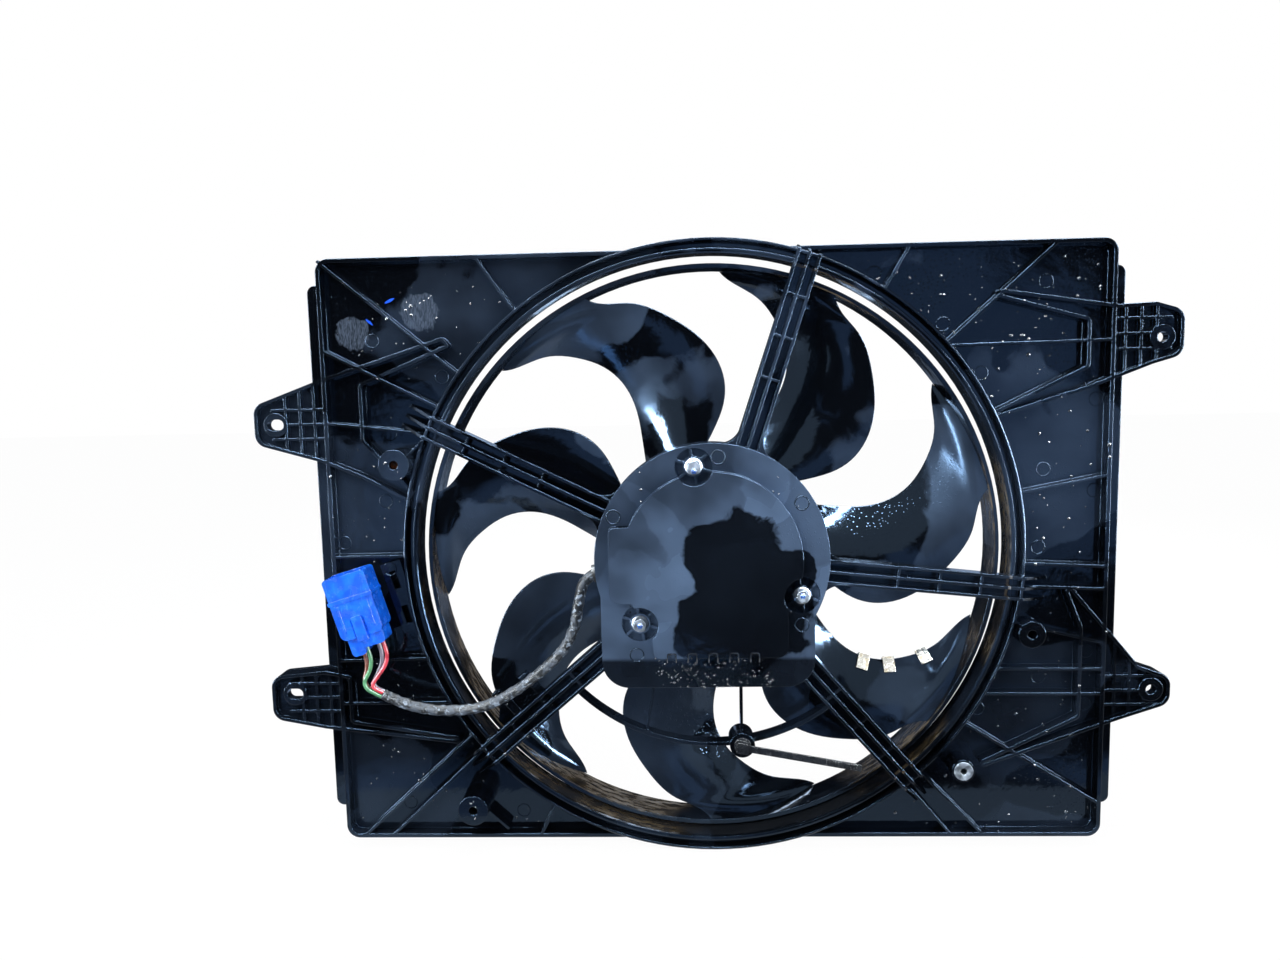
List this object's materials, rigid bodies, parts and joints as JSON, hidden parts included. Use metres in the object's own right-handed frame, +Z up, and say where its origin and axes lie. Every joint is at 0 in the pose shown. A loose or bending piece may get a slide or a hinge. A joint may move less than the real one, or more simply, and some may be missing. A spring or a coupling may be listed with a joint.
{
  "type": "radiator cooling fan",
  "caption": "Electric radiator cooling fan: moulded shroud with strut-mounted motor carrier, flat motor, swept-blade ring fan and wired connector.",
  "frame": {"origin": "on the fan axis, halfway through the depth, which is the centre of the whole box", "axes": "+X to the right seen from the engine side, +Z up as installed, +Y along the fan axis from the engine side towards the radiator"},
  "size_m": [0.682, 0.08, 0.463],
  "materials": {
    "black_moulding": "wet, glossy black glass-filled nylon",
    "clip_steel": "bright spring steel",
    "motor_steel": "black coated drawn steel",
    "bearing_steel": "ground bearing steel",
    "magnet": "grey ferrite",
    "stack_steel": "stacked steel laminations",
    "copper": "enamelled copper wire and copper segments",
    "brush_card": "brown phenolic",
    "carbon": "pressed carbon",
    "plated_steel": "bright zinc plated steel",
    "rusty_steel": "rusty steel",
    "blue_plastic": "bright blue nylon",
    "terminal": "tinned brass",
    "taped_lead": "worn grey-black harness tape",
    "wire_brown": "brown PVC insulation",
    "wire_green": "green PVC insulation",
    "wire_violet": "grey-violet PVC insulation",
    "wire_red": "red PVC insulation",
    "rubber": "black rubber",
    "tie_plastic": "worn black nylon"
  },
  "bodies": {
    "frame": {"shroud": "black_moulding", "shroud_ring": "black_moulding", "shroud_walls": "black_moulding", "struts": "black_moulding", "arc_rib": "black_moulding", "motor_carrier": "black_moulding", "motor_end_plate": "motor_steel", "motor_can": "motor_steel", "rear_bearing": "bearing_steel", "front_bearing": "bearing_steel", "magnets": "magnet", "brush_card": "brush_card", "brushes": "carbon", "motor_screws": "plated_steel", "threaded_insert": "plated_steel", "hose_screw": "rusty_steel", "connector_housing": "blue_plastic", "terminals": "terminal", "lead_sleeve": "taped_lead", "wire_brown": "wire_brown", "wire_green": "wire_green", "wire_violet": "wire_violet", "wire_red": "wire_red", "grommet": "rubber", "cable_tie": "tie_plastic"},
    "fan": {"fan_hub": "black_moulding", "fan_blades": "black_moulding", "fan_band": "black_moulding", "balance_clips": "clip_steel", "armature_stack": "stack_steel", "windings_rear": "copper", "windings_front": "copper", "commutator": "copper", "shaft": "bearing_steel", "drive_washer": "plated_steel", "fan_nut": "plated_steel"}
  },
  "joints": [
    {"name": "fan_spin", "type": "hinge", "parent": "frame", "child": "fan", "pos_m": [0, 0, 0], "axis": [0, 1, 0], "continuous": true}
  ]
}
